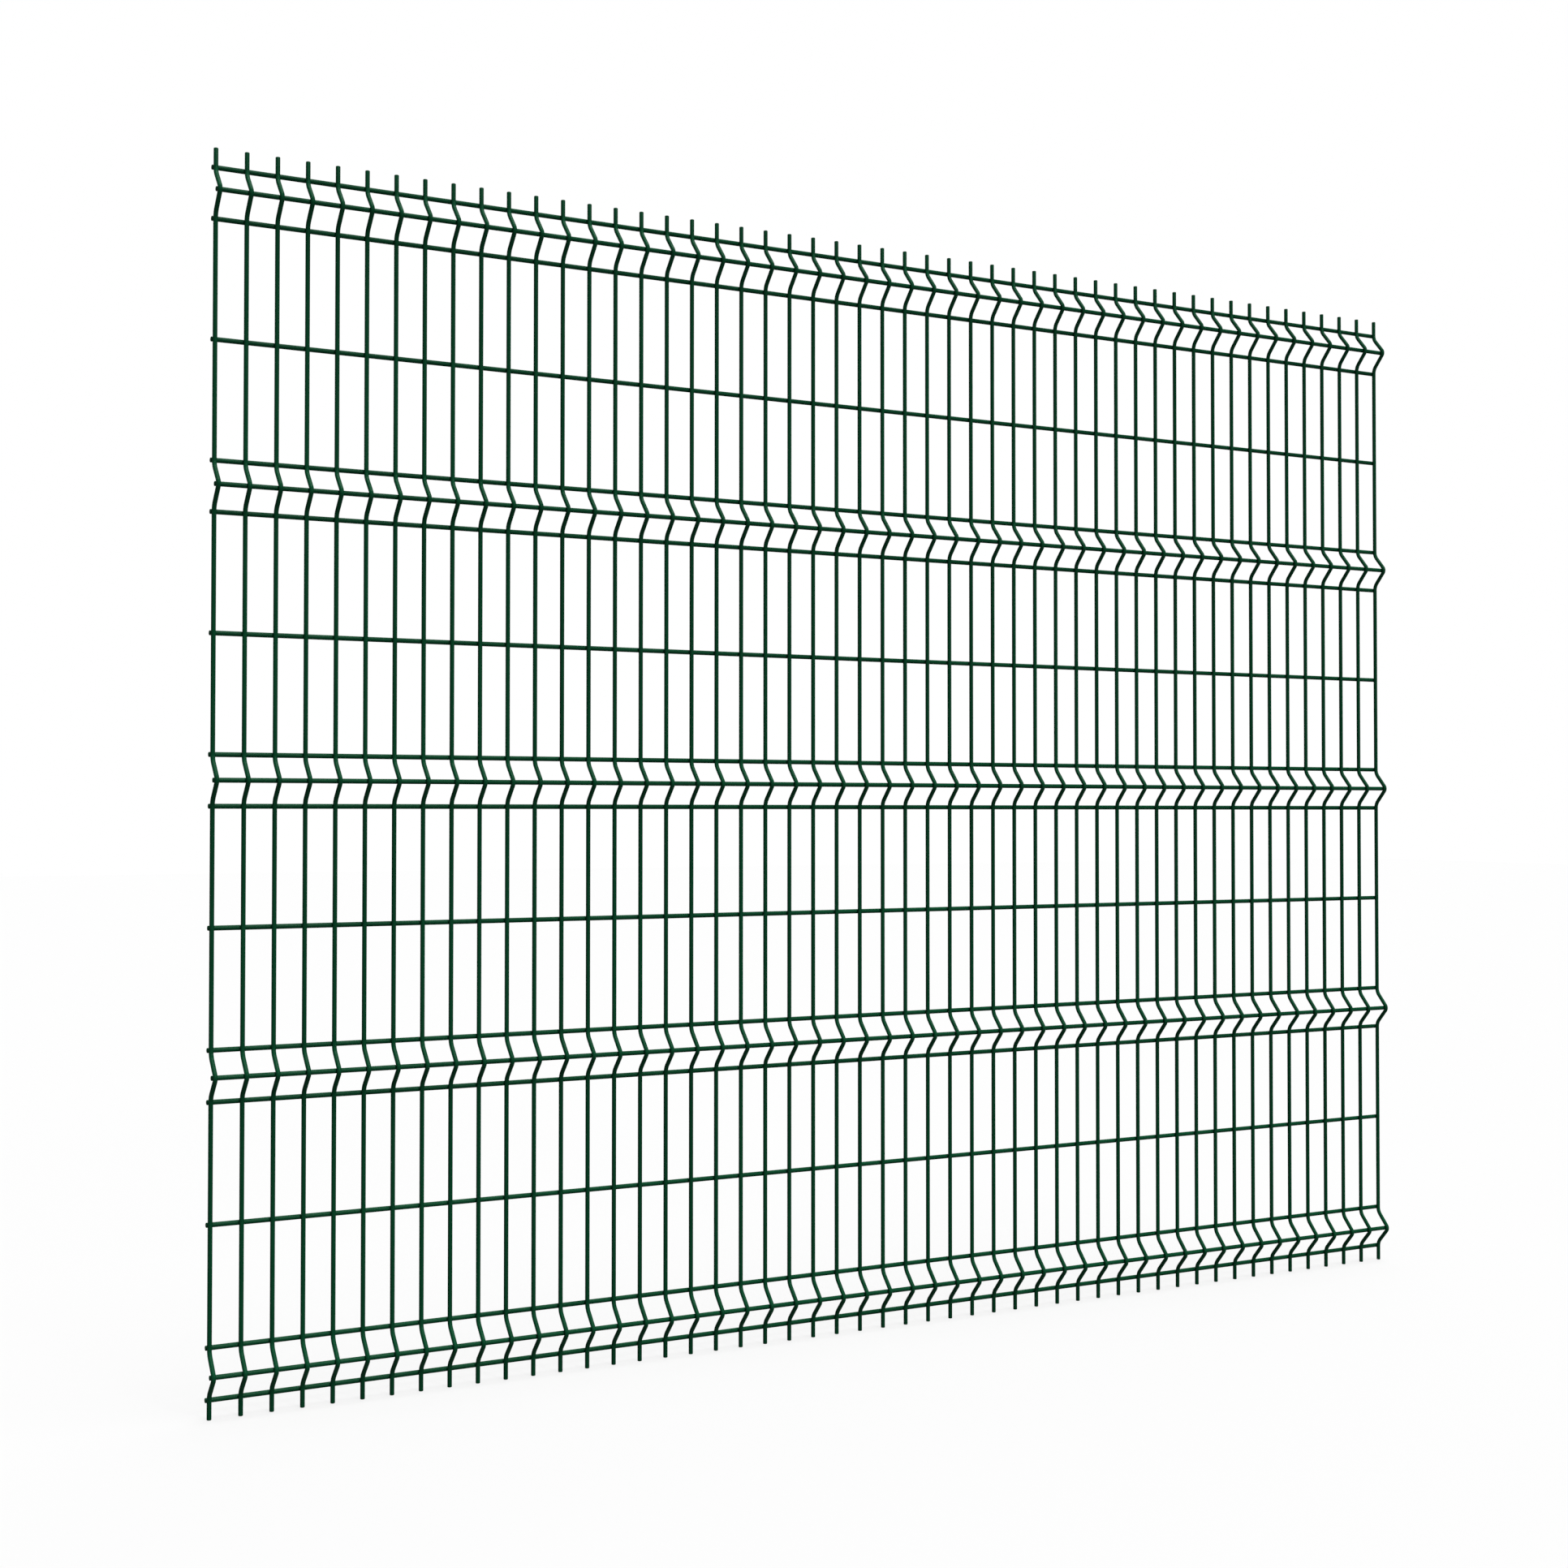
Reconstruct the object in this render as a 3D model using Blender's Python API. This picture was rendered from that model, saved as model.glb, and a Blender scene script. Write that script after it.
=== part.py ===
"""Welded mesh fence panel: 51 folded uprights on 19 cross wires, spot-welded where they cross.

Run it with blender --background --python part.py, or from Blender's text editor.
The panel stands along +X and faces -Y. Its origin is on the back of the lowest cross wire,
behind the left edge upright: the plane y = 0 is the one that the fence posts touch.
"""

import math

import bmesh
import bpy
from mathutils import Vector

# Sizes in metres
UPRIGHT_DIAMETER = 0.0074
CROSS_WIRE_DIAMETER = 0.0081
UPRIGHT_PITCH = 0.050
UPRIGHT_COUNT = 51
CELL_HEIGHT = 0.193
CELLS_BETWEEN_FOLDS = 2
FOLD_COUNT = 5
FOLD_HEIGHT = 0.082
FOLD_REACH = 0.029
FOLD_INSET = 0.0082
NOSE_RADIUS = 0.009
TIP_LENGTH = 0.0295
CROSS_WIRE_OVERHANG = 0.005
WELD_DIAMETER = 0.0032
SEAT_GAP = 0.0003
WELD_MERGE = 0.00001

# A wire has six sides, and two of them face the wires that it crosses
UPRIGHT_RADIUS = UPRIGHT_DIAMETER / 2
CROSS_WIRE_RADIUS = CROSS_WIRE_DIAMETER / 2
WIRE_BEVEL_RESOLUTION = 1
HEXAGON_FLAT = math.cos(math.radians(30))
FLAT_ON_THE_CROSSING = math.radians(90)

# The lean of a fold's legs, and how a mitred bend draws a wire's flats towards its axis
LEG_RISE = FOLD_HEIGHT / 2 - FOLD_INSET
LEG_LEAN = math.atan2(FOLD_REACH, LEG_RISE)
MITRE = math.cos(LEG_LEAN / 2)
CROSS_FLAT = CROSS_WIRE_RADIUS * HEXAGON_FLAT
UPRIGHT_FLAT = UPRIGHT_RADIUS * HEXAGON_FLAT * MITRE

# The nose of a fold is an arc, drawn here by the two corners of its tangents
NOSE_HALF_HEIGHT = NOSE_RADIUS * math.tan(LEG_LEAN / 2)
NOSE_REACH = FOLD_REACH - NOSE_HALF_HEIGHT * math.tan(LEG_LEAN)

CROSS_WIRE_Y = -CROSS_FLAT
UPRIGHT_Y = CROSS_WIRE_Y - CROSS_FLAT - SEAT_GAP - UPRIGHT_FLAT
PANEL_SPAN = UPRIGHT_PITCH * (UPRIGHT_COUNT - 1)
FOLD_PITCH = FOLD_HEIGHT + CELLS_BETWEEN_FOLDS * CELL_HEIGHT


def clear_scene():
    for obj in list(bpy.data.objects):
        bpy.data.objects.remove(obj, do_unlink=True)


def new_collection(name):
    collection = bpy.data.collections.new(name)
    bpy.context.scene.collection.children.link(collection)
    return collection


def coated_wire_material(name, colour):
    material = bpy.data.materials.new(name)
    material.use_nodes = True
    shader = material.node_tree.nodes["Principled BSDF"]
    shader.inputs["Base Color"].default_value = (*colour, 1)
    shader.inputs["Roughness"].default_value = 0.45
    shader.inputs["Metallic"].default_value = 0.0
    return material


def fold_corners(foot):
    """The (y, z) corners of one fold, from its foot up: out to the nose and back."""
    middle = foot + FOLD_HEIGHT / 2
    return [
        (0, foot + FOLD_INSET),
        (-NOSE_REACH, middle - NOSE_HALF_HEIGHT),
        (-NOSE_REACH, middle + NOSE_HALF_HEIGHT),
        (0, foot + FOLD_HEIGHT - FOLD_INSET),
    ]


def fold_feet():
    """The height of the lower edge of each fold, where its lowest cross wire lies."""
    return [index * FOLD_PITCH for index in range(FOLD_COUNT)]


def upright_path():
    """The (y, z) corners of a whole upright, from its bottom tip to its top tip."""
    corners = [(0, -TIP_LENGTH)]
    for foot in fold_feet():
        corners += fold_corners(foot)
    corners.append((0, fold_feet()[-1] + FOLD_HEIGHT + TIP_LENGTH))
    return corners


def cross_wire_places():
    """The (y, z) of each cross wire's axis: three on each fold, and those between two folds."""
    places = []
    for foot in fold_feet():
        places.append((CROSS_WIRE_Y, foot))
        places.append((CROSS_WIRE_Y - NOSE_REACH, foot + FOLD_HEIGHT / 2))
        places.append((CROSS_WIRE_Y, foot + FOLD_HEIGHT))
    for foot in fold_feet()[:-1]:
        for cell in range(1, CELLS_BETWEEN_FOLDS):
            places.append((CROSS_WIRE_Y, foot + FOLD_HEIGHT + cell * CELL_HEIGHT))
    return sorted(places, key=lambda place: place[1])


def wire_curve(name, points, radius, tilt, material):
    """A wire bent at each of its points, six-sided, with closed ends."""
    curve = bpy.data.curves.new(name, "CURVE")
    curve.dimensions = "3D"
    curve.twist_mode = "MINIMUM"
    curve.bevel_depth = radius
    curve.bevel_resolution = WIRE_BEVEL_RESOLUTION
    curve.use_fill_caps = True
    spline = curve.splines.new("POLY")
    spline.points.add(len(points) - 1)
    for spline_point, place in zip(spline.points, points):
        spline_point.co = (*place, 1)
        spline_point.tilt = tilt
    curve.materials.append(material)
    return curve


def upright_curve(material):
    points = [(0, y, z) for y, z in upright_path()]
    return wire_curve("upright", points, UPRIGHT_RADIUS, 0, material)


def cross_wire_curve(material):
    ends = (-CROSS_WIRE_OVERHANG, PANEL_SPAN + CROSS_WIRE_OVERHANG)
    points = [(x, 0, 0) for x in ends]
    return wire_curve("cross_wire", points, CROSS_WIRE_RADIUS, FLAT_ON_THE_CROSSING, material)


def closed_mesh_of(curve):
    """The curve's solid as a mesh, with its end caps welded on."""
    carrier = bpy.data.objects.new(curve.name, curve)
    bpy.context.scene.collection.objects.link(carrier)
    graph = bpy.context.evaluated_depsgraph_get()
    mesh = bpy.data.meshes.new_from_object(carrier.evaluated_get(graph))
    bpy.data.objects.remove(carrier)
    solid = bmesh.new()
    solid.from_mesh(mesh)
    bmesh.ops.remove_doubles(solid, verts=solid.verts, dist=WELD_MERGE)
    bmesh.ops.recalc_face_normals(solid, faces=solid.faces)
    solid.to_mesh(mesh)
    solid.free()
    return mesh


def weld_mesh(material):
    """A weld nugget along Y, from the axis of an upright to the axis of a cross wire."""
    nugget = bmesh.new()
    bmesh.ops.create_cone(
        nugget,
        cap_ends=True,
        segments=6,
        radius1=WELD_DIAMETER / 2,
        radius2=WELD_DIAMETER / 2,
        depth=CROSS_WIRE_Y - UPRIGHT_Y,
    )
    for vertex in nugget.verts:
        vertex.co = Vector((vertex.co.x, vertex.co.z, vertex.co.y))
    bmesh.ops.recalc_face_normals(nugget, faces=nugget.faces)
    mesh = bpy.data.meshes.new("weld")
    nugget.to_mesh(mesh)
    nugget.free()
    mesh.materials.append(material)
    return mesh


def place(name, data, collection, location):
    obj = bpy.data.objects.new(name, data)
    obj.location = location
    collection.objects.link(obj)
    return obj


def place_member(name, data, members, location):
    """A solid that the edge frame is welded from: it is a helper, so no render shows it."""
    member = place(name, data, members, location)
    member.hide_render = True
    member.display_type = "WIRE"
    return member


def build_edge_frame(panel, members, material):
    """All the cross wires with the two edge uprights welded to them, as one solid."""
    upright = closed_mesh_of(upright_curve(material))
    cross_wire = closed_mesh_of(cross_wire_curve(material))
    weld = weld_mesh(material)
    weld_lead = (UPRIGHT_Y - CROSS_WIRE_Y) / 2
    for number, (y, z) in enumerate(cross_wire_places(), start=1):
        place_member(f"cross_wire_{number:02}", cross_wire, members, (0, y, z))
        for side, x in (("left", 0), ("right", PANEL_SPAN)):
            place_member(f"weld_{side}_{number:02}", weld, members, (x, y + weld_lead, z))
    place_member("right_edge_upright", upright, members, (PANEL_SPAN, UPRIGHT_Y, 0))
    frame = place("cross_wires_and_edge_uprights", upright, panel, (0, UPRIGHT_Y, 0))
    fuse = frame.modifiers.new("Weld the members", "BOOLEAN")
    fuse.operation = "UNION"
    fuse.operand_type = "COLLECTION"
    fuse.collection = members
    fuse.solver = "EXACT"


def build_inner_uprights(panel, material):
    """The uprights between the two edges, each seated on the front of the cross wires."""
    curve = upright_curve(material)
    for number in range(2, UPRIGHT_COUNT):
        x = UPRIGHT_PITCH * (number - 1)
        place(f"upright_{number:02}", curve, panel, (x, UPRIGHT_Y, 0))


def main():
    clear_scene()
    panel = new_collection("Welded mesh fence panel")
    members = new_collection("Edge frame members")
    green = coated_wire_material("green coated wire", (0.012, 0.075, 0.034))
    build_edge_frame(panel, members, green)
    build_inner_uprights(panel, green)


main()
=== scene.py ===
"""Looks of a welded mesh fence panel: round coated wires, rounded folds, welds, stage and camera.

The file is laid out as an add-on and is run as a script. Lengths are in metres, in the frame of
the solids: +X runs along the panel, -Y is its front, +Z is up, and its posts stand behind y = 0.
"""

import math

import bpy
import numpy as np
from bpy.props import (
    FloatProperty,
    FloatVectorProperty,
    IntProperty,
    PointerProperty,
)
from bpy.types import Operator, Panel, PropertyGroup
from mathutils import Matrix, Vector


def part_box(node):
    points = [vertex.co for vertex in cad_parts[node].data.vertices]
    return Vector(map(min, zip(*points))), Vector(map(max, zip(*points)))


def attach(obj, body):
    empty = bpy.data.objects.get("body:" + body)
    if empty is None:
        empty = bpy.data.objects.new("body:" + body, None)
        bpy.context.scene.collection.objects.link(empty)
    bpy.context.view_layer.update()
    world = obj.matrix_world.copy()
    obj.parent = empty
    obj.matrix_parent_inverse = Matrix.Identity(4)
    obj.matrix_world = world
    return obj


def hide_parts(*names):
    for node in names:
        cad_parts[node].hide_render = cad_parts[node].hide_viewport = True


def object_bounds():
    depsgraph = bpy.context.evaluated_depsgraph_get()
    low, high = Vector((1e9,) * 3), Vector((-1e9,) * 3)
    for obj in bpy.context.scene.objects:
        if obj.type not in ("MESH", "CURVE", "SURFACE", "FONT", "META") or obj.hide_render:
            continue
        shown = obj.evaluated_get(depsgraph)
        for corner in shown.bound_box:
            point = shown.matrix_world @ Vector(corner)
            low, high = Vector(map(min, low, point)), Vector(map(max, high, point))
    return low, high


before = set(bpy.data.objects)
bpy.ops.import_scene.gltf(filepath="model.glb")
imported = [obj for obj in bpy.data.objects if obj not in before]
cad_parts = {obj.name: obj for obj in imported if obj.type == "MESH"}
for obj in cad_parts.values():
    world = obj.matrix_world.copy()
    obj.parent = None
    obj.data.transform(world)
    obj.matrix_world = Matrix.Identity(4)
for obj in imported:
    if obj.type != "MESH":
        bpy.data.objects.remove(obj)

bl_info = {
    "name": "Welded Mesh Fence Panel",
    "version": (1, 0, 0),
    "blender": (4, 5, 0),
    "location": "View3D > Sidebar > Fence Panel",
    "description": "Dresses a folded welded mesh panel in round, plastic-coated wire",
    "category": "Add Mesh",
}

BODY = "root"
EDGE_FRAME = "cross_wires_and_edge_uprights"
INNER_UPRIGHTS = sorted(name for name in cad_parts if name.startswith("upright_"))

# The solids' wires are six-sided with two sides facing the crossings, so their backs lie this
# share of their radius from the axis
FLAT = math.cos(math.radians(30))

# What the solids say of the wires: two uprights, side by side, and the whole panel. Diameters are
# those over the corners of the six-sided wires. That of the cross wires is written out, because
# no node is a cross wire alone.
CAD_LOW, CAD_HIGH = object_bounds()
FIRST_LOW, FIRST_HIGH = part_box(INNER_UPRIGHTS[0])
NEXT_LOW, NEXT_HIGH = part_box(INNER_UPRIGHTS[1])
SOLID_UPRIGHT_DIAMETER = FIRST_HIGH.x - FIRST_LOW.x
SOLID_CROSS_WIRE_DIAMETER = 0.0081
UPRIGHT_PITCH = NEXT_LOW.x - FIRST_LOW.x
UPRIGHT_COUNT = len(INNER_UPRIGHTS) + 2
UPRIGHT_Y = FIRST_HIGH.y - SOLID_UPRIGHT_DIAMETER / 2 * FLAT
CROSS_WIRE_Y = CAD_HIGH.y - SOLID_CROSS_WIRE_DIAMETER / 2 * FLAT
TIP_LENGTH = -FIRST_LOW.z
OVERHANG = -CAD_LOW.x
PANEL_MIDDLE = (CAD_LOW + CAD_HIGH) / 2

# The directions of the panel, for the rings of its wires
ACROSS = np.array((1.0, 0.0, 0.0))
BACK = np.array((0.0, 1.0, 0.0))
UP = np.array((0.0, 0.0, 1.0))

# The search for a weld's rim: where it stops, as a share of the upright's radius, and its steps
WIDEST_RIM = 0.98
HALVINGS = 30

# The coat's pattern: its noises per metre, drawn out fivefold along the way that a wire runs
COAT_GROUP = "Sprayed coat"
RUNS_PER_METRE = 70.0
PATCHES_PER_METRE = 9.0
ALONG_UPRIGHTS = (1, 1, 0.2)
ALONG_CROSS_WIRES = (0.2, 1, 1)
ALIKE_ALL_WAYS = (1, 1, 1)

# Where the sum of runs and patches gives the deep colour, and where it gives the full one
DEEP_TONE = 0.75
FULL_TONE = 1.25

# The share of the gloss where the runs' noise is 0, and what it gains where it is 1
LEAST_GLOSS = 0.6
GLOSS_GAIN = 0.8

# The height of the runs, as a share of that of the small bumps
RUN_HEIGHT = 0.6

# The stage: its plain white, how far from the panel's middle the lamps hang, and the width of the
# camera's sensor in millimetres
WHITE = (1, 1, 1, 1)
LAMP_DISTANCE = 3.0
SENSOR_WIDTH = 36


class WireSizes(PropertyGroup):
    """The coated wire."""

    upright_diameter: FloatProperty(
        name="Upright diameter",
        description="Of an upright, over its coat",
        default=0.0076,
        unit="LENGTH",
    )
    cross_wire_diameter: FloatProperty(
        name="Cross wire diameter",
        description="Of a cross wire, over its coat",
        default=0.0081,
        unit="LENGTH",
    )
    end_rounding: FloatProperty(
        name="End rounding",
        description="How far the coat rounds the edge of a cut end",
        default=0.0011,
        unit="LENGTH",
    )
    sides: IntProperty(name="Sides", description="Faces round a wire", default=16, min=6)
    end_rings: IntProperty(name="End rings", description="Rings on a rounded edge", default=4)


class FoldSizes(PropertyGroup):
    """The folds that stiffen the mesh."""

    count: IntProperty(name="Folds", description="Folds from bottom to top", default=5)
    cells_between: IntProperty(
        name="Cells between", description="Tall cells between two folds", default=2
    )
    cell_height: FloatProperty(
        name="Cell height", description="Height of a tall cell", default=0.193, unit="LENGTH"
    )
    height: FloatProperty(
        name="Height",
        description="From a fold's lower cross wire to its upper one",
        default=0.082,
        unit="LENGTH",
    )
    reach: FloatProperty(
        name="Reach",
        description="From the mesh to where the two legs of a fold would meet",
        default=0.029,
        unit="LENGTH",
    )
    inset: FloatProperty(
        name="Inset",
        description="From a fold's edge wire to where its leg would meet the mesh",
        default=0.0082,
        unit="LENGTH",
    )
    nose_radius: FloatProperty(
        name="Nose radius",
        description="Bend radius of the nose, at the wire's axis",
        default=0.009,
        unit="LENGTH",
    )
    entry_steps: IntProperty(name="Entry steps", description="Rings in an entry bend", default=6)
    nose_steps: IntProperty(name="Nose steps", description="Rings in a nose", default=12)


class WeldSizes(PropertyGroup):
    """The coat that fills the crevice round a weld."""

    crevice: FloatProperty(
        name="Crevice",
        description="Widest gap between two wires that the coat closes",
        default=0.0007,
        unit="LENGTH",
    )
    waist: FloatProperty(
        name="Waist", description="How far the fillet is drawn in, as a share", default=0.12
    )
    sink: FloatProperty(
        name="Sink",
        description="How deep the fillet's rims lie under the wires' surfaces",
        default=0.00012,
        unit="LENGTH",
    )
    sides: IntProperty(name="Sides", description="Faces round a weld", default=12)
    rings: IntProperty(name="Rings", description="Rings from wire to wire", default=4, min=2)


class CoatLooks(PropertyGroup):
    """The plastic coat."""

    colour: FloatVectorProperty(
        name="Colour",
        description="The coat where it is full",
        subtype="COLOR",
        size=4,
        default=(0.0020, 0.0600, 0.0222, 1.0),
    )
    deep_colour: FloatVectorProperty(
        name="Deep colour",
        description="The coat where it has pooled",
        subtype="COLOR",
        size=4,
        default=(0.0016, 0.0480, 0.0178, 1.0),
    )
    gloss: FloatProperty(
        name="Gloss", description="Strength of the coat's gloss", default=0.08, subtype="FACTOR"
    )
    gloss_roughness: FloatProperty(
        name="Gloss roughness", description="Blur of the gloss", default=0.30, subtype="FACTOR"
    )
    peel_size: FloatProperty(
        name="Peel size",
        description="Distance between the small bumps of the coat",
        default=0.0030,
        unit="LENGTH",
    )
    peel_height: FloatProperty(
        name="Peel height",
        description="Height of the small bumps",
        default=0.00002,
        unit="LENGTH",
    )


class StageLooks(PropertyGroup):
    """Floor, light and camera."""

    floor_drop: FloatProperty(
        name="Floor drop",
        description="From the wires' lower tips to the floor",
        default=0.0005,
        unit="LENGTH",
    )
    floor_reach: FloatProperty(
        name="Floor reach", description="Half the floor's width", default=30.0, unit="LENGTH"
    )
    floor_white: FloatProperty(
        name="Floor white",
        description="Share of the floor that is seen as plain white",
        default=0.8,
        subtype="FACTOR",
    )
    floor_colour: FloatVectorProperty(
        name="Floor colour",
        description="The rest of the floor, which is lit and keeps the shadow",
        subtype="COLOR",
        size=4,
        default=(0.55, 0.55, 0.55, 1.0),
    )
    floor_bounce: FloatVectorProperty(
        name="Floor bounce",
        description="The floor's colour in the light that it throws back on the panel",
        subtype="COLOR",
        size=4,
        default=(0.08, 0.08, 0.08, 1.0),
    )
    sky: FloatProperty(name="Sky", description="Light from overhead", default=0.12)
    horizon: FloatProperty(name="Horizon", description="Light from the horizon", default=0.33)
    sky_height: FloatProperty(
        name="Sky height",
        description="Sine of the angle over the horizon from which the sky is even",
        default=0.6,
        subtype="FACTOR",
    )
    top_light: FloatProperty(
        name="Top light", description="Light of the top lamp, in W/m2", default=3.6
    )
    top_way: FloatVectorProperty(
        name="Top way",
        description="From the panel to the top lamp, a little in front and to the right",
        subtype="DIRECTION",
        default=(0.10, -0.18, 0.98),
    )
    back_light: FloatProperty(
        name="Back light", description="Light of the back lamp, in W/m2", default=1.2
    )
    back_way: FloatVectorProperty(
        name="Back way",
        description="From the panel to the back lamp, high behind and to the right",
        subtype="DIRECTION",
        default=(0.41, 0.49, 0.77),
    )
    soft_spread: FloatProperty(
        name="Soft spread",
        description="Angle that the top lamp and the back lamp each fill",
        default=math.radians(40),
        subtype="ANGLE",
    )
    front_light: FloatProperty(
        name="Front light", description="Light of the front lamp, in W/m2", default=1.15
    )
    front_way: FloatVectorProperty(
        name="Front way",
        description="From the panel to the front lamp, which draws the stripe of gloss",
        subtype="DIRECTION",
        default=(0.21, -0.84, 0.50),
    )
    front_spread: FloatProperty(
        name="Front spread",
        description="Angle that the front lamp fills",
        default=math.radians(12),
        subtype="ANGLE",
    )
    camera_place: FloatVectorProperty(
        name="Camera place",
        description="Where the camera stands",
        subtype="TRANSLATION",
        default=(-0.9053, -3.4470, 0.9279),
    )
    camera_turn: FloatVectorProperty(
        name="Camera turn",
        description="Its rotation about X, Y and Z",
        subtype="EULER",
        default=(math.radians(91.1556), math.radians(-0.0138), math.radians(-29.496)),
    )
    focal_length: FloatProperty(
        name="Focal length", description="In millimetres, on a 36 mm sensor", default=49.881
    )
    shift_up: FloatProperty(
        name="Shift up", description="Lens shift, as a share of the picture", default=-0.01043
    )


def bend(start, end, radius, count):
    """A bend in count steps, as rows of (length, heading on the way, heading at its end).

    The heading turns evenly, so each step is a chord of length 2 R sin(half its turn), laid at
    the mean of its two headings.
    """
    headings = np.linspace(start, end, count + 1)
    turn = np.diff(headings)
    chord = 2 * radius * np.sin(np.abs(turn) / 2)
    return np.column_stack((chord, headings[:-1] + turn / 2, headings[1:]))


def straight(heading, length):
    """A straight run as one such row."""
    return np.array([[length, heading, heading]])


def fold_lean(folds):
    """The angle of a fold's legs from upright: its tangent is reach / (height / 2 - inset)."""
    return math.atan2(folds.reach, folds.height / 2 - folds.inset)


def fold_run(folds):
    """Entry bend, leg, nose, leg and exit bend of one fold.

    An arc that turns by a uses up R tan(a / 2) of each line that it joins, which gives the entry
    bend its radius and the leg its length.
    """
    lean = fold_lean(folds)
    entry_radius = folds.inset / math.tan(lean / 2)
    leg = math.hypot(folds.reach, folds.height / 2 - folds.inset)
    leg -= folds.inset + folds.nose_radius * math.tan(lean)
    return np.vstack(
        (
            bend(0, lean, entry_radius, folds.entry_steps),
            straight(lean, leg),
            bend(lean, -lean, folds.nose_radius, folds.nose_steps),
            straight(-lean, leg),
            bend(-lean, 0, entry_radius, folds.entry_steps),
        )
    )


def upright_axis(folds):
    """Points and headings along an upright at x = 0, from its bottom tip up.

    Each point is the bottom tip plus the running sum of its steps: a step of length s at
    heading h goes s sin h to the front and s cos h up.
    """
    tip = straight(0, TIP_LENGTH)
    run = fold_run(folds)
    rise = straight(0, folds.cells_between * folds.cell_height)
    bays = np.tile(np.vstack((run, rise)), (folds.count - 1, 1))
    length, on_the_way, heading = np.vstack((tip, bays, run, tip)).T
    y = UPRIGHT_Y - np.cumsum(length * np.sin(on_the_way))
    z = -TIP_LENGTH + np.cumsum(length * np.cos(on_the_way))
    points = np.column_stack((np.zeros_like(y), y, z))
    points = np.vstack(((0, UPRIGHT_Y, -TIP_LENGTH), points))
    return points, np.concatenate(((0,), heading))


def cross_wire_rows(folds):
    """(y, z, in a nose or not) of each cross wire's axis, from the bottom up."""
    lean = fold_lean(folds)
    nose_reach = folds.reach - folds.nose_radius * (1 / math.cos(lean) - 1)
    pitch = folds.height + folds.cells_between * folds.cell_height
    rows = []
    for fold in range(folds.count):
        foot = fold * pitch
        rows.append((CROSS_WIRE_Y, foot, False))
        rows.append((CROSS_WIRE_Y - nose_reach, foot + folds.height / 2, True))
        rows.append((CROSS_WIRE_Y, foot + folds.height, False))
        if fold == folds.count - 1:
            break
        for cell in range(1, folds.cells_between):
            rows.append((CROSS_WIRE_Y, foot + folds.height + cell * folds.cell_height, False))
    return rows


def rounded_ends(points, along, radius, wires):
    """The wire's axis with the rings that round its two ends, and the radius at each ring.

    At angle b from the wire's side the edge of a cut end lies e (1 - sin b) inside its face and
    has lost e (1 - cos b) of the radius, where e is the rounding.
    """
    angle = np.linspace(math.pi / 2, 0, wires.end_rings + 1)
    inside = wires.end_rounding * (1 - np.sin(angle))
    edge = radius - wires.end_rounding * (1 - np.cos(angle))
    start = points[0] + inside[:, None] * along[0]
    end = points[-1] - inside[::-1, None] * along[-1]
    axis = np.vstack((start, points[1:-1], end))
    full = np.full(len(points) - 2, radius)
    return axis, np.concatenate((edge, full, edge[::-1]))


def spread_ends(values, wires):
    """The per-ring directions, with those of the two ends repeated for the rings added there."""
    counts = np.ones(len(values), int)
    counts[0] = counts[-1] = wires.end_rings + 1
    return np.repeat(values, counts, axis=0)


def ring_surface(axis, first, second, radii, sides):
    """Vertices of a round surface: axis + r (cos a first + sin a second), and a pole at each end."""
    angle = np.linspace(0, 2 * math.pi, sides, endpoint=False)[None, :, None]
    spokes = np.cos(angle) * first[:, None] + np.sin(angle) * second[:, None]
    rings = axis[:, None] + radii[:, None, None] * spokes
    return np.vstack((axis[:1], rings.reshape(-1, 3), axis[-1:]))


def ring_faces(rings, sides):
    """Quads between neighbouring rings and a fan of triangles at each end, facing outwards."""
    ring, side = np.meshgrid(np.arange(rings - 1), np.arange(sides), indexing="ij")
    here = 1 + ring * sides + side
    beside = 1 + ring * sides + (side + 1) % sides
    quads = np.stack((here, here + sides, beside + sides, beside), axis=-1).reshape(-1, 4)
    low = 1 + np.arange(sides)
    low_next = 1 + (np.arange(sides) + 1) % sides
    high = low + (rings - 1) * sides
    high_next = low_next + (rings - 1) * sides
    pole = 1 + rings * sides
    bottom = np.column_stack((np.zeros_like(low), low, low_next))
    top = np.column_stack((np.full_like(high, pole), high_next, high))
    return quads, np.vstack((bottom, top))


def mesh_from(name, vertices, quads, triangles, material):
    """A smooth-shaded mesh, filled from whole arrays."""
    mesh = bpy.data.meshes.new(name)
    corners = np.concatenate((quads.ravel(), triangles.ravel()))
    sizes = np.concatenate((np.full(len(quads), 4), np.full(len(triangles), 3)))
    mesh.vertices.add(len(vertices))
    mesh.vertices.foreach_set("co", vertices.astype(np.float32).ravel())
    mesh.loops.add(len(corners))
    mesh.loops.foreach_set("vertex_index", corners.astype(np.int32))
    mesh.polygons.add(len(sizes))
    mesh.polygons.foreach_set("loop_start", (np.cumsum(sizes) - sizes).astype(np.int32))
    mesh.update(calc_edges=True)
    mesh.validate()
    mesh.shade_smooth()
    mesh.materials.append(material)
    return mesh


def add_piece(name, mesh, *stands_for):
    """Puts a finished mesh on the panel's body, in place of the solids that it stands for."""
    piece = bpy.data.objects.new(name, mesh)
    bpy.context.scene.collection.objects.link(piece)
    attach(piece, BODY)
    if stands_for:
        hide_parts(*stands_for)
    return piece


def wire_mesh(name, points, along, first, second, radius, wires, material):
    """A round wire along the points, with rounded ends."""
    axis, radii = rounded_ends(points, along, radius, wires)
    first = spread_ends(first, wires)
    second = spread_ends(second, wires)
    vertices = ring_surface(axis, first, second, radii, wires.sides)
    return mesh_from(name, vertices, *ring_faces(len(axis), wires.sides), material)


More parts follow.
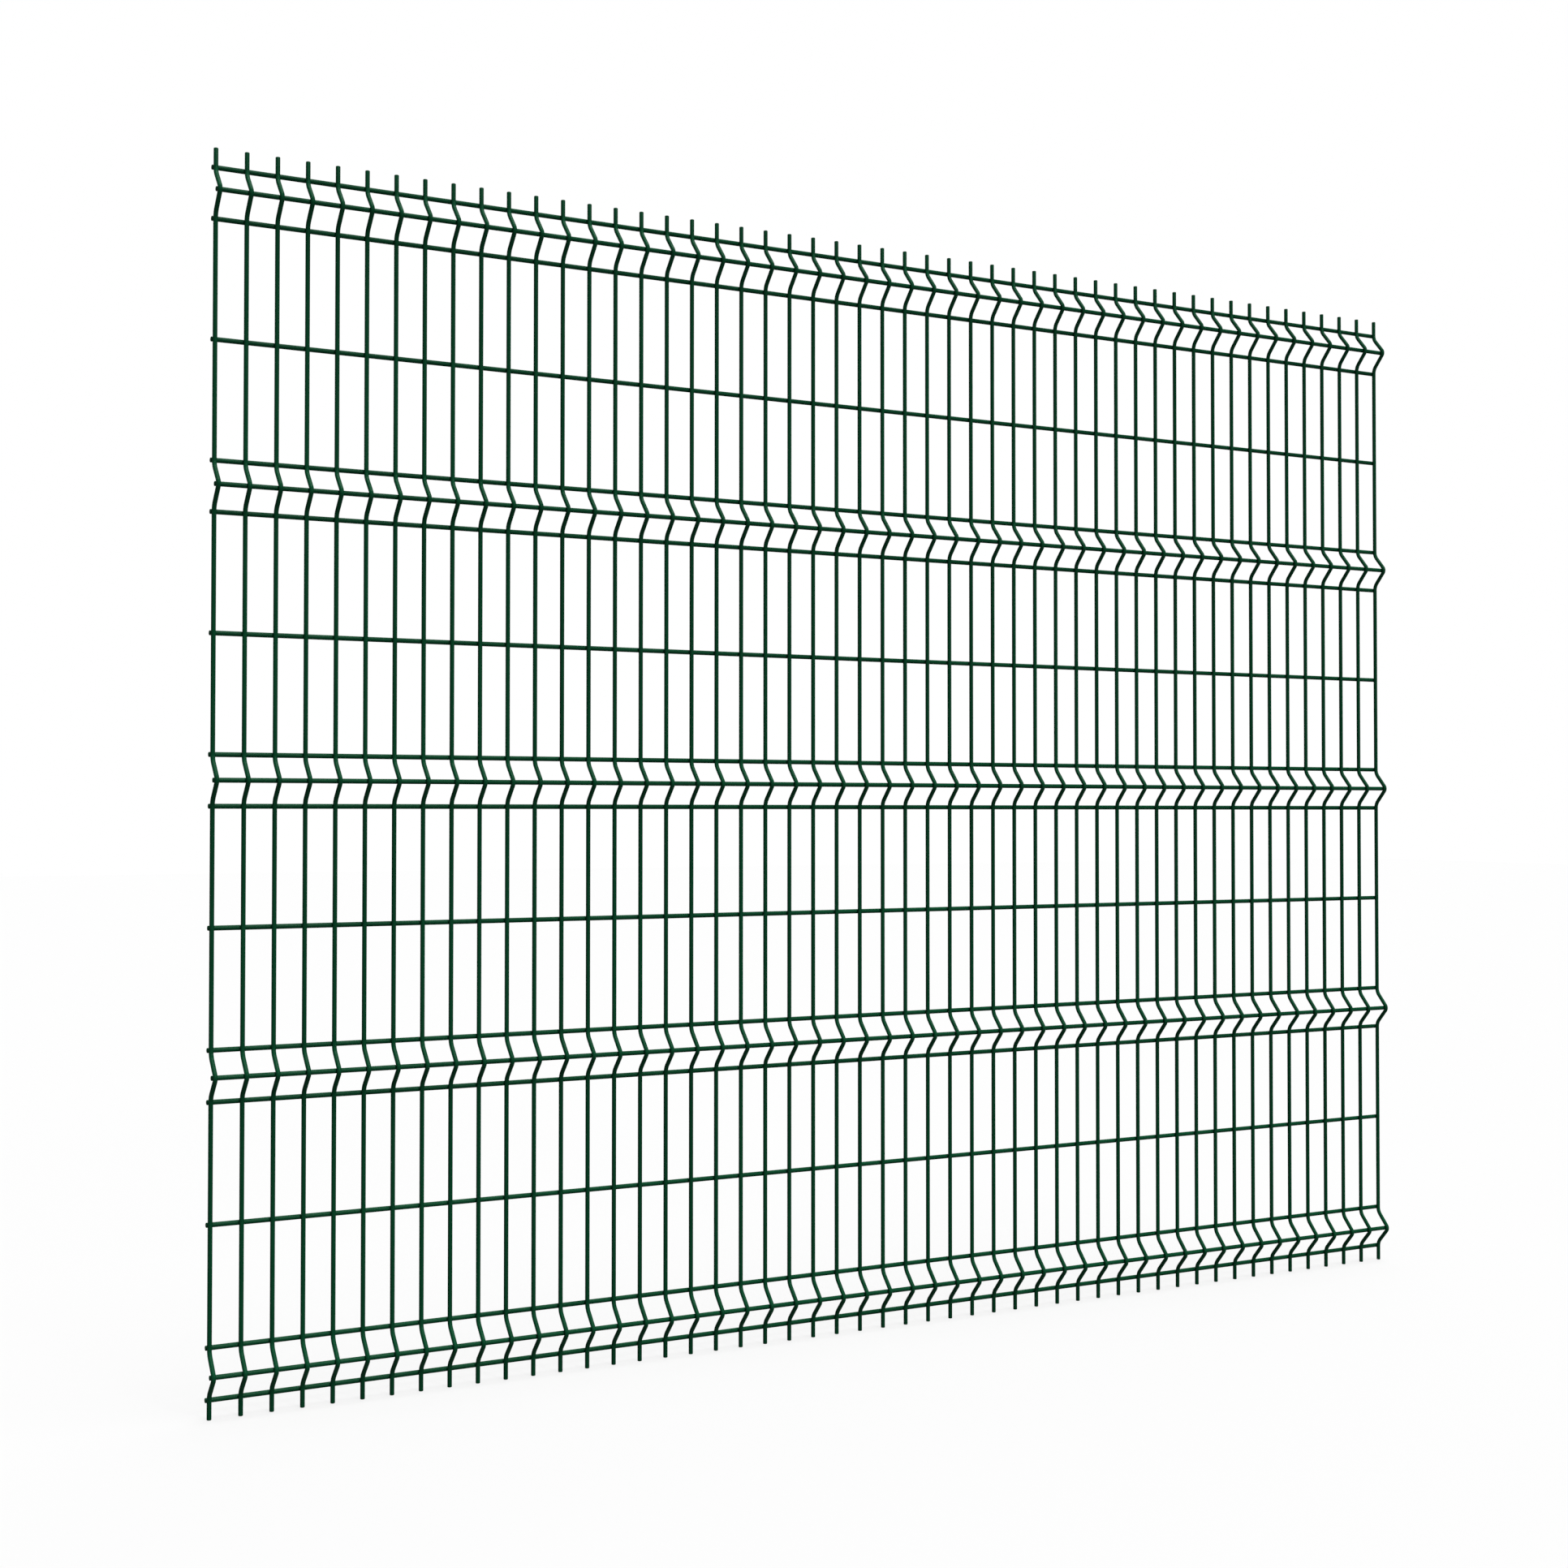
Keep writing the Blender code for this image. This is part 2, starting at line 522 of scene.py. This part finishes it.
def weld_rim(folds, wires, welds, in_nose):
    """Radius of the fillet's rim at each angle, and the heights of both wires there.

    Seen from the front, the rim lies where the gap between the wires has grown to the crevice:
    the back of the upright is at -d + sqrt(u^2 - x^2), or inside a nose of radius R at
    -d + R - sqrt((R - sqrt(u^2 - x^2))^2 - z^2), and the front of the cross wire is at
    -sqrt(c^2 - z^2), where u and c are the radii of the two wires and d is the distance between
    their axes. The rim's radius is found by halving an interval, for all the angles at once.
    """
    upright_radius = wires.upright_diameter / 2
    cross_wire_radius = wires.cross_wire_diameter / 2
    distance = CROSS_WIRE_Y - UPRIGHT_Y
    angle = np.linspace(0, 2 * math.pi, welds.sides, endpoint=False)

    def surfaces(rim):
        x, z = rim * np.cos(angle), rim * np.sin(angle)
        wall = np.sqrt(upright_radius**2 - x**2)
        upright = wall - distance
        if in_nose:
            bend_wall = folds.nose_radius - wall
            upright = folds.nose_radius - distance - np.sqrt(bend_wall**2 - z**2)
        return upright, -np.sqrt(cross_wire_radius**2 - z**2)

    low = np.zeros(welds.sides)
    high = np.full(welds.sides, upright_radius * WIDEST_RIM)
    for _ in range(HALVINGS):
        middle = (low + high) / 2
        upright, cross_wire = surfaces(middle)
        wide = cross_wire - upright > welds.crevice
        high = np.where(wide, middle, high)
        low = np.where(wide, low, middle)
    return angle, low, *surfaces(low)


def weld_shape(folds, wires, welds, in_nose):
    """Vertices of one fillet round the cross wire's axis, as a spool with a pole in each wire.

    From the upright, t = 0, to the cross wire, t = 1, its radius is the rim's times
    1 - 4 w t (1 - t), where w is the waist, and its height goes evenly from one surface to
    the other. Both rims are sunk into the wires.
    """
    angle, rim, upright, cross_wire = weld_rim(folds, wires, welds, in_nose)
    upright = upright - welds.sink
    cross_wire = cross_wire + welds.sink
    t = np.linspace(0, 1, welds.rings)[:, None]
    radius = rim * (1 - 4 * welds.waist * t * (1 - t))
    y = upright + t * (cross_wire - upright)
    rings = np.stack((radius * np.cos(angle), y, radius * np.sin(angle)), axis=-1)
    first_pole = (0, UPRIGHT_Y - CROSS_WIRE_Y, 0)
    return np.vstack((first_pole, rings.reshape(-1, 3), (0, 0, 0)))


def weld_row_mesh(name, shape, row_y, row_z, sides, material):
    """The fillets of one cross wire, at every upright, as one mesh."""
    x = UPRIGHT_PITCH * np.arange(UPRIGHT_COUNT)
    places = np.column_stack((x, np.full_like(x, row_y), np.full_like(x, row_z)))
    vertices = (places[:, None] + shape[None]).reshape(-1, 3)
    quads, triangles = ring_faces((len(shape) - 2) // sides, sides)
    shift = (len(shape) * np.arange(UPRIGHT_COUNT))[:, None, None]
    quads = (quads + shift).reshape(-1, 4)
    triangles = (triangles + shift).reshape(-1, 3)
    return mesh_from(name, vertices, quads, triangles, material)


def add_node(tree, kind, **settings):
    """A shader node with its settings, and its inputs by name where they aren't settings."""
    node = tree.nodes.new(kind)
    for name, value in settings.items():
        if hasattr(node, name):
            setattr(node, name, value)
        else:
            node.inputs[name].default_value = value
    return node


def coat_group():
    """The sprayed coat that the wires share: its colour, gloss and small bumps over the surface."""
    tree = bpy.data.node_groups.new(COAT_GROUP, "ShaderNodeTree")
    for name, way, kind in (
        ("Vector", "INPUT", "NodeSocketVector"),
        ("Peel scale", "INPUT", "NodeSocketFloat"),
        ("Full colour", "INPUT", "NodeSocketColor"),
        ("Deep colour", "INPUT", "NodeSocketColor"),
        ("Full gloss", "INPUT", "NodeSocketFloat"),
        ("Colour", "OUTPUT", "NodeSocketColor"),
        ("Gloss", "OUTPUT", "NodeSocketFloat"),
        ("Relief", "OUTPUT", "NodeSocketFloat"),
    ):
        tree.interface.new_socket(name, in_out=way, socket_type=kind)
    given = add_node(tree, "NodeGroupInput")
    result = add_node(tree, "NodeGroupOutput")
    peel = add_node(tree, "ShaderNodeTexNoise", Detail=2.0, Roughness=0.45)
    runs = add_node(tree, "ShaderNodeTexNoise", Scale=RUNS_PER_METRE, Detail=2.0, Roughness=0.5)
    patches = add_node(tree, "ShaderNodeTexNoise", Scale=PATCHES_PER_METRE, Detail=1.0)
    tone = add_node(tree, "ShaderNodeMath", operation="ADD")
    tone_range = add_node(tree, "ShaderNodeMapRange")
    tone_range.inputs["From Min"].default_value = DEEP_TONE
    tone_range.inputs["From Max"].default_value = FULL_TONE
    colour = add_node(tree, "ShaderNodeMix", data_type="RGBA")
    dulling = add_node(tree, "ShaderNodeMath", operation="MULTIPLY_ADD")
    dulling.inputs[1].default_value = GLOSS_GAIN
    dulling.inputs[2].default_value = LEAST_GLOSS
    gloss = add_node(tree, "ShaderNodeMath", operation="MULTIPLY")
    relief = add_node(tree, "ShaderNodeMath", operation="MULTIPLY_ADD")
    relief.inputs[1].default_value = RUN_HEIGHT
    link = tree.links.new
    for noise in (peel, runs, patches):
        link(given.outputs["Vector"], noise.inputs["Vector"])
    link(given.outputs["Peel scale"], peel.inputs["Scale"])
    link(runs.outputs[0], tone.inputs[0])
    link(patches.outputs[0], tone.inputs[1])
    link(tone.outputs[0], tone_range.inputs["Value"])
    link(tone_range.outputs["Result"], colour.inputs["Factor"])
    link(given.outputs["Deep colour"], colour.inputs["A"])
    link(given.outputs["Full colour"], colour.inputs["B"])
    link(runs.outputs[0], dulling.inputs[0])
    link(given.outputs["Full gloss"], gloss.inputs[0])
    link(dulling.outputs[0], gloss.inputs[1])
    link(runs.outputs[0], relief.inputs[0])
    link(peel.outputs[0], relief.inputs[2])
    link(colour.outputs["Result"], result.inputs["Colour"])
    link(gloss.outputs[0], result.inputs["Gloss"])
    link(relief.outputs[0], result.inputs["Relief"])
    return tree


def coated_material(name, coat, stretch):
    """The coat on one kind of wire, its pattern stretched along the way that the wire runs.

    All its gloss is the shader's coat, whose weight follows the pattern.
    """
    material = bpy.data.materials.new(name)
    material.use_nodes = True
    tree = material.node_tree
    shader = tree.nodes["Principled BSDF"]
    shader.inputs["Specular IOR Level"].default_value = 0.0
    shader.inputs["Coat Roughness"].default_value = coat.gloss_roughness
    place = add_node(tree, "ShaderNodeTexCoord")
    mapping = add_node(tree, "ShaderNodeMapping")
    mapping.inputs["Scale"].default_value = stretch
    group = add_node(tree, "ShaderNodeGroup")
    group.node_tree = bpy.data.node_groups.get(COAT_GROUP) or coat_group()
    group.inputs["Peel scale"].default_value = 1 / coat.peel_size
    group.inputs["Full colour"].default_value = coat.colour
    group.inputs["Deep colour"].default_value = coat.deep_colour
    group.inputs["Full gloss"].default_value = coat.gloss
    bump = add_node(tree, "ShaderNodeBump", Strength=1.0, Distance=coat.peel_height)
    link = tree.links.new
    link(place.outputs["Object"], mapping.inputs["Vector"])
    link(mapping.outputs["Vector"], group.inputs["Vector"])
    link(group.outputs["Colour"], shader.inputs["Base Color"])
    link(group.outputs["Gloss"], shader.inputs["Coat Weight"])
    link(group.outputs["Relief"], bump.inputs["Height"])
    link(bump.outputs["Normal"], shader.inputs["Normal"])
    return material


class FENCE_OT_bend_uprights(Operator):
    """Makes every upright: a round wire bent to the folds, with rounded cut ends"""

    bl_idname = "fence_panel.bend_uprights"
    bl_label = "Bend Uprights"

    def execute(self, context):
        scene = context.scene
        wires = scene.fence_wires
        radius = wires.upright_diameter / 2
        material = coated_material("coat_on_uprights", scene.fence_coat, ALONG_UPRIGHTS)
        points, heading = upright_axis(scene.fence_folds)
        front = -np.cos(heading)[:, None] * BACK - np.sin(heading)[:, None] * UP
        along = -np.sin(heading)[:, None] * BACK + np.cos(heading)[:, None] * UP
        across = np.tile(ACROSS, (len(points), 1))
        for index in range(UPRIGHT_COUNT):
            name = f"coated_upright_{index + 1:02}"
            placed = points + index * UPRIGHT_PITCH * ACROSS
            mesh = wire_mesh(name, placed, along, across, front, radius, wires, material)
            node = f"upright_{index + 1:02}"
            add_piece(name, mesh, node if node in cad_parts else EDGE_FRAME)
        return {"FINISHED"}


class FENCE_OT_lay_cross_wires(Operator):
    """Lays the cross wires on the back of the uprights and inside the noses of the folds"""

    bl_idname = "fence_panel.lay_cross_wires"
    bl_label = "Lay Cross Wires"

    def execute(self, context):
        scene = context.scene
        wires = scene.fence_wires
        radius = wires.cross_wire_diameter / 2
        material = coated_material("coat_on_cross_wires", scene.fence_coat, ALONG_CROSS_WIRES)
        x = UPRIGHT_PITCH * np.arange(UPRIGHT_COUNT)
        x = np.concatenate(((-OVERHANG,), x, (x[-1] + OVERHANG,)))
        along, up, back = (np.tile(way, (len(x), 1)) for way in (ACROSS, UP, BACK))
        for number, (row_y, row_z, _) in enumerate(cross_wire_rows(scene.fence_folds), start=1):
            name = f"coated_cross_wire_{number:02}"
            points = np.column_stack((x, np.full_like(x, row_y), np.full_like(x, row_z)))
            mesh = wire_mesh(name, points, along, up, back, radius, wires, material)
            add_piece(name, mesh, EDGE_FRAME)
        return {"FINISHED"}


class FENCE_OT_weld_crossings(Operator):
    """Fills the crevice round every weld with coat, one piece for each cross wire"""

    bl_idname = "fence_panel.weld_crossings"
    bl_label = "Weld Crossings"

    def execute(self, context):
        scene = context.scene
        welds = scene.fence_welds
        material = coated_material("coat_on_welds", scene.fence_coat, ALIKE_ALL_WAYS)
        shapes = {
            in_nose: weld_shape(scene.fence_folds, scene.fence_wires, welds, in_nose)
            for in_nose in (False, True)
        }
        rows = cross_wire_rows(scene.fence_folds)
        for number, (row_y, row_z, in_nose) in enumerate(rows, start=1):
            name = f"welds_on_cross_wire_{number:02}"
            mesh = weld_row_mesh(name, shapes[in_nose], row_y, row_z, welds.sides, material)
            add_piece(name, mesh)
        return {"FINISHED"}


def direct_sight(tree):
    """1 for the rays that show the background itself: seen straight, mirrored or let through."""
    path = add_node(tree, "ShaderNodeLightPath")
    mirrored = add_node(tree, "ShaderNodeMath", operation="MAXIMUM")
    tree.links.new(path.outputs["Is Camera Ray"], mirrored.inputs[0])
    tree.links.new(path.outputs["Is Glossy Ray"], mirrored.inputs[1])
    let_through = add_node(tree, "ShaderNodeMath", operation="MAXIMUM")
    tree.links.new(mirrored.outputs[0], let_through.inputs[0])
    tree.links.new(path.outputs["Is Transmission Ray"], let_through.inputs[1])
    return let_through.outputs[0]


def floor_material(stage):
    """A pale floor that is seen mostly as plain white, keeps some shadow and bounces little light."""
    material = bpy.data.materials.new("pale_floor")
    material.use_nodes = True
    tree = material.node_tree
    tree.nodes.remove(tree.nodes["Principled BSDF"])
    seen = direct_sight(tree)
    shade = add_node(tree, "ShaderNodeMix", data_type="RGBA")
    shade.inputs["A"].default_value = stage.floor_bounce
    shade.inputs["B"].default_value = stage.floor_colour
    lit = add_node(tree, "ShaderNodeBsdfDiffuse")
    plain = add_node(tree, "ShaderNodeEmission", Color=WHITE, Strength=1.0)
    share = add_node(tree, "ShaderNodeMath", operation="MULTIPLY")
    share.inputs[1].default_value = stage.floor_white
    mix = add_node(tree, "ShaderNodeMixShader")
    link = tree.links.new
    link(seen, shade.inputs["Factor"])
    link(shade.outputs["Result"], lit.inputs["Color"])
    link(seen, share.inputs[0])
    link(share.outputs[0], mix.inputs["Fac"])
    link(lit.outputs[0], mix.inputs[1])
    link(plain.outputs[0], mix.inputs[2])
    link(mix.outputs[0], tree.nodes["Material Output"].inputs["Surface"])
    return material


def lay_floor(stage):
    """A flat pale floor just under the wires' tips."""
    x, y = np.meshgrid((-1.0, 1.0), (-1.0, 1.0))
    corners = np.column_stack((x.ravel(), y.ravel())) * stage.floor_reach
    level = np.full((4, 1), -TIP_LENGTH - stage.floor_drop)
    corners = np.hstack((corners + (PANEL_MIDDLE.x, 0.0), level))
    quads = np.array([[0, 1, 3, 2]])
    none = np.empty((0, 3), int)
    mesh = mesh_from("floor", corners, quads, none, floor_material(stage))
    floor = bpy.data.objects.new("floor", mesh)
    bpy.context.scene.collection.objects.link(floor)


def hang_sky(stage):
    """A dome whose light changes from the horizon up, and which is seen as plain white."""
    world = bpy.data.worlds.new("studio")
    bpy.context.scene.world = world
    world.use_nodes = True
    tree = world.node_tree
    dome = tree.nodes["Background"]
    output = tree.nodes["World Output"]
    place = add_node(tree, "ShaderNodeTexCoord")
    split = add_node(tree, "ShaderNodeSeparateXYZ")
    rise = add_node(tree, "ShaderNodeMapRange", interpolation_type="SMOOTHSTEP")
    rise.inputs["From Min"].default_value = 0.0
    rise.inputs["From Max"].default_value = stage.sky_height
    rise.inputs["To Min"].default_value = stage.horizon
    rise.inputs["To Max"].default_value = stage.sky
    white = add_node(tree, "ShaderNodeBackground", Color=WHITE, Strength=1.0)
    mix = add_node(tree, "ShaderNodeMixShader")
    dome.inputs["Color"].default_value = WHITE
    link = tree.links.new
    link(place.outputs["Generated"], split.inputs[0])
    link(split.outputs["Z"], rise.inputs["Value"])
    link(rise.outputs["Result"], dome.inputs["Strength"])
    link(direct_sight(tree), mix.inputs["Fac"])
    link(dome.outputs[0], mix.inputs[1])
    link(white.outputs[0], mix.inputs[2])
    link(mix.outputs[0], output.inputs["Surface"])


def hang_lamp(name, light, spread, way):
    """A distant lamp of the given width, seen from the panel along the given way."""
    source = bpy.data.lights.new(name, "SUN")
    source.energy = light
    source.angle = spread
    lamp = bpy.data.objects.new(name, source)
    lamp.location = PANEL_MIDDLE + LAMP_DISTANCE * Vector(way)
    lamp.rotation_euler = Vector(way).to_track_quat("Z", "Y").to_euler()
    bpy.context.scene.collection.objects.link(lamp)


def place_camera(stage):
    """The camera at the photograph's place, for a square picture."""
    lens = bpy.data.cameras.new("camera")
    lens.sensor_width = SENSOR_WIDTH
    lens.lens = stage.focal_length
    lens.shift_y = stage.shift_up
    camera = bpy.data.objects.new("camera", lens)
    camera.location = stage.camera_place
    camera.rotation_euler = stage.camera_turn
    bpy.context.scene.collection.objects.link(camera)
    bpy.context.scene.camera = camera


class FENCE_OT_set_stage(Operator):
    """Lays the floor, hangs the lights and places the camera"""

    bl_idname = "fence_panel.set_stage"
    bl_label = "Set Stage"

    def execute(self, context):
        stage = context.scene.fence_stage
        lay_floor(stage)
        hang_sky(stage)
        hang_lamp("top_lamp", stage.top_light, stage.soft_spread, stage.top_way)
        hang_lamp("front_lamp", stage.front_light, stage.front_spread, stage.front_way)
        hang_lamp("back_lamp", stage.back_light, stage.soft_spread, stage.back_way)
        place_camera(stage)
        context.scene.view_settings.view_transform = "Standard"
        return {"FINISHED"}


class VIEW3D_PT_fence_panel(Panel):
    """Lists the steps that dress the panel"""

    bl_label = "Fence Panel"
    bl_idname = "VIEW3D_PT_fence_panel"
    bl_space_type = "VIEW_3D"
    bl_region_type = "UI"
    bl_category = "Fence Panel"

    def draw(self, context):
        for step in STEPS:
            self.layout.operator(step.bl_idname)
        for group_name, group in SETTINGS.items():
            box = self.layout.box()
            box.label(text=group.__doc__)
            for name in group.__annotations__:
                box.prop(getattr(context.scene, group_name), name)


SETTINGS = {
    "fence_wires": WireSizes,
    "fence_folds": FoldSizes,
    "fence_welds": WeldSizes,
    "fence_coat": CoatLooks,
    "fence_stage": StageLooks,
}
STEPS = (
    FENCE_OT_set_stage,
    FENCE_OT_bend_uprights,
    FENCE_OT_lay_cross_wires,
    FENCE_OT_weld_crossings,
)


def register():
    for group_name, group in SETTINGS.items():
        bpy.utils.register_class(group)
        setattr(bpy.types.Scene, group_name, PointerProperty(type=group))
    for step in STEPS:
        bpy.utils.register_class(step)
    bpy.utils.register_class(VIEW3D_PT_fence_panel)


def unregister():
    bpy.utils.unregister_class(VIEW3D_PT_fence_panel)
    for step in reversed(STEPS):
        bpy.utils.unregister_class(step)
    for group_name, group in reversed(SETTINGS.items()):
        delattr(bpy.types.Scene, group_name)
        bpy.utils.unregister_class(group)


def main():
    register()
    bpy.ops.fence_panel.set_stage()
    bpy.ops.fence_panel.bend_uprights()
    bpy.ops.fence_panel.lay_cross_wires()
    bpy.ops.fence_panel.weld_crossings()


if __name__ == "__main__":
    main()
